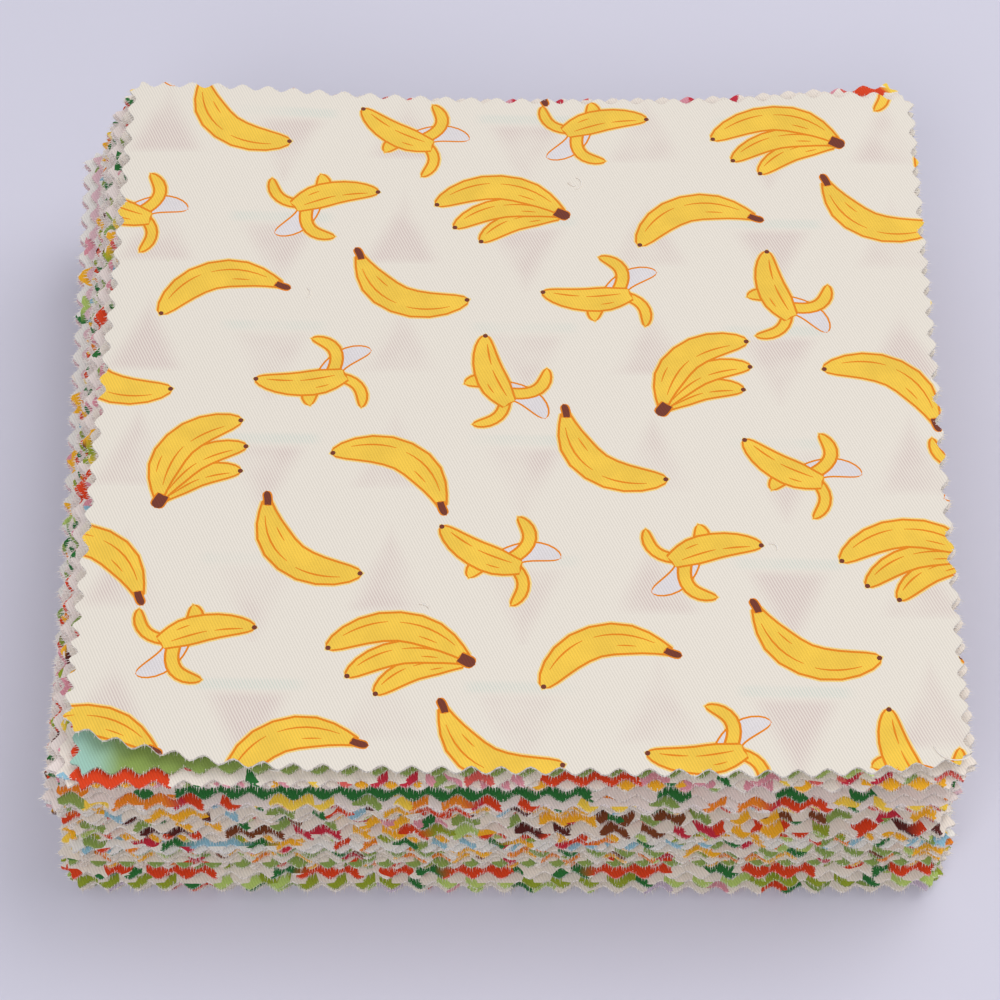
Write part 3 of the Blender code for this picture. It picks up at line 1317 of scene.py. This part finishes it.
@dataclass(frozen=True)
class FruitFigure:
    """One figure of the print, drawn from its parts around the middle of its place."""

    fruits: tuple[Crescent, ...]
    peels: tuple[Crescent, ...] = ()
    flesh: tuple[Crescent, ...] = ()
    stem: Crescent | None = None
    middle: Point = (0.0, 0.0)
    halo_swell: float = 0.34
    line_swell: float = 0.15
    fruit_swell: float = -0.14
    fine_swell: float = 0.12
    stem_swell: float = -0.06
    stem_samples: int = 8
    folded_from: float = 2.0
    folds: tuple[tuple[float, float, float, float], ...] = (
        (0.10, 0.50, -0.30, 0.24),
        (0.58, 0.88, -0.34, 0.24),
        (0.20, 0.34, 0.42, 0.18),
    )
    tip_share: float = 0.99
    tip_radius: float = 0.32

    def patches(self) -> list[Patch]:
        """Draws the figure's halo, lines, fills, tips and stem.

        Returns:
            The shapes, the uppermost last.
        """
        skins = (*self.peels, *self.fruits)
        drawn = [Patch(skin.outline(self.halo_swell), Ink.HALO) for skin in skins]
        for finger in self.flesh:
            drawn.append(Patch(finger.outline(self.fine_swell), Ink.LINE))
            drawn.append(Patch(finger.outline(-self.fine_swell), Ink.FLESH))
        for skin in skins:
            drawn.append(Patch(skin.outline(self.line_swell), Ink.LINE))
            drawn.append(Patch(skin.outline(self.fruit_swell), Ink.FRUIT))
            if skin.girth > self.folded_from:
                drawn += [Patch(skin.stroke(*fold), Ink.LINE) for fold in self.folds]
        for fruit in self.fruits:
            tip = fruit.spine(self.tip_share)
            drawn.append(Patch(ring(tuple(tip), self.tip_radius), Ink.BROWN))
        if self.stem:
            drawn.append(Patch(self.stem.outline(self.fine_swell, self.stem_samples), Ink.LINE))
            drawn.append(Patch(self.stem.outline(self.stem_swell, self.stem_samples), Ink.BROWN))
        return drawn


def counter_clockwise(points: list[Vector]) -> list[Vector]:
    """The same loop, turned round where it ran clockwise."""
    area = sum(points[index - 1].cross(point) for index, point in enumerate(points))
    return points if area > 0.0 else points[::-1]


def ring(middle: Point, radius: float) -> tuple[Point, ...]:
    """A small round patch of eight corners."""
    turns = [math.tau * step / 8 for step in range(8)]
    return tuple((middle[0] + radius * math.cos(turn), middle[1] + radius * math.sin(turn)) for turn in turns)


class Figure(Enum):
    """Own figures of a common fruit print: a single fruit, a lying bunch, a standing one, an opened fruit."""

    SINGLE = FruitFigure(
        fruits=(Crescent(15.2, -3.9, 4.1, neck=0.24),),
        stem=Crescent(2.0, -0.1, 0.95, 140.0, (0.5, -0.4), 0.9, 0.3),
        middle=(7.6, -2.4),
    )
    BUNCH = FruitFigure(
        fruits=(
            Crescent(10.6, -1.5, 2.8, 204.0, (-0.6, -0.4)),
            Crescent(13.4, -2.3, 3.0, 191.0, (-0.5, 0.0)),
            Crescent(15.8, -3.6, 3.8, 178.0, (-0.3, 0.5)),
        ),
        stem=Crescent(2.0, 0.0, 1.5, -28.0, (-1.1, 0.6), 0.9, 0.3),
        middle=(-8.0, 1.0),
    )
    FAN = FruitFigure(
        fruits=(
            Crescent(9.8, 1.4, 2.8, 24.0, (0.4, 0.6)),
            Crescent(12.2, 2.1, 3.0, 37.0, (0.2, 0.8)),
            Crescent(14.6, 3.4, 4.0, 50.0, (-0.1, 0.8)),
        ),
        stem=Crescent(2.0, 0.0, 1.6, 242.0, (0.4, 1.3), 0.9, 0.3),
        middle=(4.4, 5.6),
    )
    OPENED = FruitFigure(
        fruits=(Crescent(10.8, 1.1, 3.7, 8.0, (-1.3, 0.0), 0.50, 0.80),),
        peels=(
            Crescent(5.8, 1.5, 1.3, 132.0, (0.1, 0.4), 1.0, 0.3),
            Crescent(5.0, -1.3, 2.0, 62.0, (0.0, 0.5), 0.9, 0.4),
            Crescent(5.6, -1.6, 1.5, -56.0, (0.2, -0.5), 1.0, 0.35),
        ),
        flesh=(Crescent(6.6, 1.0, 2.6, 222.0, (0.9, 0.5), 0.95, 0.5),),
        middle=(2.6, -0.2),
    )


# The print's own layout in millimetres and degrees: half-dropped columns, how far a figure strays and
# swings from its spot, and the round of figures along them with their turns
TOSS_SEED = 31
TOSS_ACROSS = 23.2
TOSS_UP = 12.9
TOSS_STRAY = 0.9
TOSS_SWING = 4.0
TOSS_MARGIN = 10.0
TOSS_ROUND = (
    (Figure.SINGLE, -28.0),
    (Figure.OPENED, 6.0),
    (Figure.SINGLE, 152.0),
    (Figure.OPENED, 172.0),
    (Figure.BUNCH, 2.0),
    (Figure.SINGLE, -38.0),
    (Figure.OPENED, 96.0),
    (Figure.SINGLE, 200.0),
    (Figure.OPENED, 140.0),
    (Figure.FAN, -2.0),
)


@dataclass
class FruitPiece(PinkedSheet):
    """The top piece, cut along the outlines of its fruit print so that each ink is its own faces."""

    relief_step: float = 0.0030
    past_edge: float = 3.0

    def toss(self) -> list[Patch]:
        """Throws the figures over the piece.

        Returns:
            Every shape of the print in metres, from the lowest to the uppermost.
        """
        chance = random.Random(TOSS_SEED)
        thrown = []
        reach = CUT_SIDE / MM / 2 + TOSS_MARGIN
        rows = int(2 * reach / TOSS_UP) + 1
        columns = int(2 * reach / TOSS_ACROSS) + 1
        for row in range(rows):
            for column in range(columns):
                figure, turn = TOSS_ROUND[(3 * column + 4 * row) % len(TOSS_ROUND)]
                across = -reach + TOSS_ACROSS * (column + 0.5 * (row % 2))
                up = -reach + TOSS_UP * row
                spot = Vector((
                    across + chance.uniform(-TOSS_STRAY, TOSS_STRAY),
                    up + chance.uniform(-TOSS_STRAY, TOSS_STRAY),
                ))
                turning = Matrix.Rotation(math.radians(turn + chance.uniform(-TOSS_SWING, TOSS_SWING)), 2)
                for patch in figure.value.patches():
                    arms = [Vector(point) - Vector(figure.value.middle) for point in patch.points]
                    places = [spot + turning @ arm for arm in arms]
                    thrown.append(Patch(tuple((place.x * MM, place.y * MM) for place in places), patch.ink))
        return thrown

    def cut(self, outline: list[Vector], patches: list[Patch]) -> tuple[list, list, list]:
        """Cuts the flat piece along every shape of the print.

        Args:
            outline: The piece's cut edge.
            patches: The print's shapes, the uppermost last.

        Returns:
            The corners, the triangles, and the ink of each triangle.
        """
        places = [Vector((point.x, point.y)) / MM for point in outline]
        loops = [list(range(len(places)))]
        inks = [Ink.GROUND]
        limit = CUT_SIDE / MM / 2 + self.past_edge
        for patch in patches:
            points = counter_clockwise([Vector(point) / MM for point in patch.points])
            if all(abs(point.x) > limit or abs(point.y) > limit for point in points):
                continue
            loops.append(list(range(len(places), len(places) + len(points))))
            places += points
            inks.append(patch.ink)
        steps = int(CUT_SIDE / self.relief_step)
        for across in range(1, steps):
            for back in range(1, steps):
                places.append(Vector((across / steps - 0.5, back / steps - 0.5)) * CUT_SIDE / MM)
        corners, _, triangles, _, _, owners = delaunay_2d_cdt(places, [], loops, 1, 1e-5, True)
        kept = [(face, max(own)) for face, own in zip(triangles, owners) if 0 in own]
        return [corner * MM for corner in corners], [face for face, _ in kept], [inks[top] for _, top in kept]

    def build(self) -> Object:
        """Makes the top piece.

        Returns:
            The cloth's object.
        """
        corners, triangles, inks = self.cut(self.outline(), self.toss())
        work = bmesh.new()
        verts = [work.verts.new((corner.x, corner.y, 0.0)) for corner in corners]
        for triangle, ink in zip(triangles, inks):
            face = work.faces.new([verts[index] for index in triangle])
            face.material_index = ink.value
        loose = [vertex for vertex in work.verts if not vertex.link_faces]
        bmesh.ops.delete(work, geom=loose, context="VERTS")
        self.print_rim(work)
        self.drop(work)
        self.thicken(work)
        return finished(work, self.name, [*self.print.layers(), *print_inks()])


def print_inks() -> list[Material]:
    """Makes the materials of the fruit print's inks.

    Returns:
        The materials in the order of Ink.
    """
    return [
        PrintedInk("print_halo", Dye.FRUIT_HALO).make(),
        PrintedInk("print_line", Dye.FRUIT_LINE).make(),
        PrintedInk("print_fruit", Dye.FRUIT, 0.10).make(),
        PrintedInk("print_brown", Dye.FRUIT_BROWN).make(),
        PrintedInk("print_flesh", Dye.FRUIT_FLESH).make(),
    ]


def thread_end() -> Mesh:
    """The shape of one thread end, a metre wide and tall, made once.

    Returns:
        The mesh.
    """
    kept = bpy.data.meshes.get("thread_end")
    if kept:
        return kept
    work = bmesh.new()
    bmesh.ops.create_cone(work, cap_ends=True, segments=3, radius1=1.0, radius2=0.0, depth=1.0)
    bmesh.ops.translate(work, vec=(0.0, 0.0, 0.5), verts=work.verts)
    mesh = bpy.data.meshes.new("thread_end")
    work.to_mesh(mesh)
    work.free()
    return mesh


def finished(work: BMesh, name: str, materials: list[Material]) -> Object:
    """Turns a bmesh into an object of the scene.

    Args:
        work: The bmesh, which is freed.
        name: The object's name.
        materials: The materials for its slots.

    Returns:
        The new object, at the origin.
    """
    mesh = bpy.data.meshes.new(name)
    work.to_mesh(mesh)
    work.free()
    for material in materials:
        mesh.materials.append(material)
    part = bpy.data.objects.new(name, mesh)
    bpy.context.scene.collection.objects.link(part)
    return part


# The loose strands: the steps along one, its middle above the cloth, its radius, the share of that
# left at its ends, and the sides of its tube
STRAND_STEPS = 14
STRAND_RISE = 0.00008
STRAND_RADIUS = 0.00007
STRAND_END = 0.35
STRAND_SIDES = 5


@dataclass(frozen=True)
class Strand:
    """A loose bit of cotton thread that lies on the stack, in millimetres and degrees."""

    spot: Point
    length: float
    turn: float
    curl: float
    order: int = TOP_ORDER

    def path(self, heap: Heap) -> list[Vector]:
        """The middle line on the piece that it lies on.

        Args:
            heap: How the pieces lie.

        Returns:
            The line's points from one end to the other.
        """
        places = []
        place = Vector(self.spot) * MM
        heading = math.radians(self.turn)
        for _ in range(STRAND_STEPS + 1):
            height = heap.height(self.order, place.x - STACK_SHIFT.x, place.y - STACK_SHIFT.y)
            places.append(Vector((place.x, place.y, height + CLOTH_THICKNESS + STRAND_RISE)))
            pace = self.length * MM / STRAND_STEPS
            place = place + Vector((math.cos(heading), math.sin(heading))) * pace
            heading += math.radians(self.curl) / STRAND_STEPS
        return places


STRANDS = (
    Strand((10.0, 33.5), 2.6, 20.0, 150.0),
    Strand((-23.0, 17.0), 1.8, -35.0, -110.0),
    Strand((9.0, 34.6), 1.2, -60.0, 60.0),
    Strand((33.0, -21.0), 1.6, 75.0, 130.0),
    Strand((-8.0, -29.0), 1.4, 10.0, -80.0),
    Strand((49.2, -46.5), 5.2, -70.0, 120.0),
    Strand((-24.0, -49.6), 4.0, -15.0, 60.0, 43),
)


def scatter_strands(heap: Heap) -> None:
    """Lays the loose strands down as one piece of fine tubes.

    Args:
        heap: How the pieces lie.
    """
    work = bmesh.new()
    for strand in STRANDS:
        path = strand.path(heap)
        rings = []
        for index, place in enumerate(path):
            ahead = (path[min(index + 1, len(path) - 1)] - path[max(index - 1, 0)]).normalized()
            turn = ahead.to_track_quat("Z", "Y").to_matrix().to_4x4()
            radius = STRAND_RADIUS * (STRAND_END if index in (0, len(path) - 1) else 1.0)
            lay = Matrix.Translation(place) @ turn
            made = bmesh.ops.create_circle(work, segments=STRAND_SIDES, radius=radius, matrix=lay)
            rings.append(made["verts"])
        for low, high in zip(rings, rings[1:]):
            for side in range(STRAND_SIDES):
                beside = (side + 1) % STRAND_SIDES
                work.faces.new((low[side], low[beside], high[beside], high[side]))
        work.faces.new(rings[0][::-1])
        work.faces.new(rings[-1])
    bmesh.ops.recalc_face_normals(work, faces=work.faces)
    strands = finished(work, "loose_strands", [LooseThread().make()])
    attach(strands, "root")
    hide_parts(f"sheet_{len(SOLIDS):02d}")
    log.info("%s lie on the stack", strands.name)


@dataclass
class Studio:
    """The plain pale floor, the soft light and the camera."""

    focal_px: float = 2972.0
    frame_px: float = 1000.0
    distance: float = 0.3789
    elevation: float = math.radians(54.98)
    azimuth: float = math.radians(0.49)
    roll: float = math.radians(-0.18)
    target: Vector = field(default_factory=lambda: Vector((-0.0020, 0.0049, 0.0)) + STACK_SHIFT)
    sensor_width: float = 36.0
    near_clip: float = 0.01
    floor_tint: Tint = dye(214, 212, 226)
    floor_half: float = 3.0
    floor_roughness: float = 0.7
    world_tint: Tint = (0.93, 0.94, 1.0)
    world_strength: float = 0.48
    aim_height: float = 0.01

    def lay_floor(self) -> None:
        """Makes the floor."""
        work = bmesh.new()
        bmesh.ops.create_grid(work, x_segments=4, y_segments=4, size=self.floor_half)
        material = bpy.data.materials.new("studio_floor")
        material.use_nodes = True
        board = NodeBoard(material.node_tree)
        shader = material.node_tree.nodes["Principled BSDF"]
        shader.inputs["Roughness"].default_value = self.floor_roughness
        place = board.add("TexCoord").outputs["Object"]
        tone = board.spread(board.noise(place, 9.0), 0.3, 0.7, 0.98, 1.0)
        board.feed(shader.inputs["Base Color"], board.blend(1.0, self.floor_tint, tone, "MULTIPLY"))
        finished(work, "floor", [material])

    def hang_light(self, name: str, place: Point, height: float, size: float, power: float) -> None:
        """Hangs one soft light that faces the stack.

        Args:
            name: The light's name.
            place: Where it hangs in the plan.
            height: How high it hangs.
            size: The side of its square.
            power: Its power in watts.
        """
        lamp = bpy.data.lights.new(name, "AREA")
        lamp.shape = "SQUARE"
        lamp.size = size
        lamp.energy = power
        holder = bpy.data.objects.new(name, lamp)
        holder.location = (*place, height)
        aim = Vector((0.0, 0.0, self.aim_height)) - holder.location
        holder.rotation_euler = aim.to_track_quat("-Z", "Y").to_euler()
        bpy.context.scene.collection.objects.link(holder)

    def light(self) -> None:
        """Sets the even surrounding light and the soft lights."""
        world = bpy.data.worlds.new("studio")
        world.use_nodes = True
        glow = world.node_tree.nodes["Background"]
        glow.inputs["Color"].default_value = (*self.world_tint, 1.0)
        glow.inputs["Strength"].default_value = self.world_strength
        bpy.context.scene.world = world
        self.hang_light("soft_top", (0.45, 0.28), height=0.85, size=0.8, power=4.6)
        self.hang_light("soft_front", (-0.20, -0.66), height=0.72, size=0.45, power=2.95)
        bpy.context.scene.view_settings.view_transform = "Standard"
        bpy.context.scene.view_settings.look = "None"

    def set_camera(self) -> None:
        """Places the camera at the photographed angle."""
        back = Vector((
            math.sin(self.azimuth) * math.cos(self.elevation),
            -math.cos(self.azimuth) * math.cos(self.elevation),
            math.sin(self.elevation),
        ))
        right = Vector((math.cos(self.azimuth), math.sin(self.azimuth), 0.0))
        up = back.cross(right)
        axes = Matrix((right, up, back)).transposed().to_4x4()
        lens = bpy.data.cameras.new("camera")
        lens.sensor_width = self.sensor_width
        lens.lens = self.focal_px / self.frame_px * lens.sensor_width
        lens.clip_start = self.near_clip
        camera = bpy.data.objects.new("camera", lens)
        spot = self.target + back * self.distance
        camera.matrix_world = Matrix.Translation(spot) @ axes @ Matrix.Rotation(-self.roll, 4, "Z")
        bpy.context.scene.collection.objects.link(camera)
        bpy.context.scene.camera = camera


# The record's slot, the ground and the inks of each solid's pieces, from the lowest up
PRINTS = (
    ("cream_print", Dye.CREAM, (Dye.LEAF, Dye.RED, Dye.CREAM, Dye.LIME, Dye.CREAM)),
    ("olive_print", Dye.CREAM, (Dye.OLIVE, Dye.CREAM, Dye.OLIVE, Dye.LIME)),
    ("coral_print", Dye.CREAM, (Dye.RED, Dye.FOREST, Dye.CREAM, Dye.RED)),
    ("cream_print", Dye.CREAM, (Dye.LEAF, Dye.CREAM, Dye.RED, Dye.AMBER)),
    ("leaf_print", Dye.CREAM, (Dye.LIME, Dye.LEAF, Dye.CREAM, Dye.ORANGE)),
    ("sky_print", Dye.WHITE, (Dye.SKY, Dye.WHITE, Dye.CRIMSON, Dye.LEAF)),
    ("amber_print", Dye.CREAM, (Dye.AMBER, Dye.CREAM, Dye.RED, Dye.LIME)),
    ("rose_print", Dye.CREAM, (Dye.CRIMSON, Dye.ROSE, Dye.CREAM, Dye.BROWN)),
    ("maroon_print", Dye.CREAM, (Dye.MAROON, Dye.AMBER, Dye.CREAM, Dye.RED)),
    ("cream_print", Dye.WHITE, (Dye.CREAM, Dye.AMBER, Dye.LEAF, Dye.CREAM)),
    ("sky_print", Dye.WHITE, (Dye.SKY, Dye.AMBER, Dye.WHITE, Dye.CRIMSON)),
    ("amber_print", Dye.PINK, (Dye.ORANGE, Dye.YELLOW, Dye.RED, Dye.PINK)),
    ("forest_print", Dye.PINK, (Dye.FOREST, Dye.PINK, Dye.FOREST, Dye.ORANGE)),
    ("coral_print", Dye.PINK, (Dye.RED, Dye.ROSE, Dye.LEAF, Dye.PINK)),
    ("leaf_print", Dye.CREAM, (Dye.LEAF, Dye.LEAF, Dye.CREAM, Dye.LEAF)),
    ("ivory_print", Dye.IVORY, (Dye.IVORY, Dye.IVORY)),
)

# The two pieces under the green one have coral motifs; the seeds of the prints are this far apart
CORAL_ORDERS = (42, 43)
SEED_STEP = 3.7

# The pieces that don't lie at random, as shifts in metres and a turn in degrees, and the two under
# the top one, which are cut smaller
NUDGES = {
    BACK_ORDER: (0.0004, 0.0005, 0.75),
    GREEN_ORDER: (0.0011, 0.0, 0.05),
    TOP_ORDER: (0.0, 0.0, 0.0),
}
HIDDEN_ORDERS = (45, 46)
HIDDEN_TRIM = 0.0006


@dataclass
class Bundle:
    """The whole stack, from the lowest piece up."""

    heap: Heap = field(default_factory=Heap)
    seed: int = 7
    wander: tuple[float, float, float] = (0.0008, 0.00025, 0.12)

    def finish_for(self, order: int) -> tuple[PrintedCotton, str]:
        """The print and the record's slot of one piece.

        Args:
            order: The piece's place in the stack.

        Returns:
            The print and the slot.
        """
        slot, ground, inks = PRINTS[order // PLIES]
        if order == GREEN_ORDER:
            inks = (Dye.CREAM, Dye.CREAM)
        elif order in CORAL_ORDERS:
            inks = (Dye.CORAL, Dye.CREAM, Dye.ROSE, Dye.CREAM)
        name = f"cotton_{order + 1:02d}"
        top = order == TOP_ORDER
        return PrintedCotton(name, ground, inks, seed=order * SEED_STEP, show_through=top), slot

    def stack(self) -> None:
        """Lays down every piece."""
        chance = random.Random(self.seed)
        below = ""
        for order in range(TOP_ORDER + 1):
            finish, slot = self.finish_for(order)
            nudge = tuple(chance.uniform(-reach, reach) for reach in self.wander)
            nudge = NUDGES.get(order, nudge)
            trim = HIDDEN_TRIM if order in HIDDEN_ORDERS else 0.0
            kind = FruitPiece if order == TOP_ORDER else PinkedSheet
            piece = kind(order, self.heap, finish, slot, nudge, trim)
            below = piece.lay_down(below)
        scatter_strands(self.heap)


def main() -> None:
    """Builds the studio and the stack."""
    logging.basicConfig(level=logging.INFO, format="%(message)s")
    studio = Studio()
    studio.set_camera()
    studio.lay_floor()
    studio.light()
    Bundle().stack()


if __name__ == "__main__":
    main()
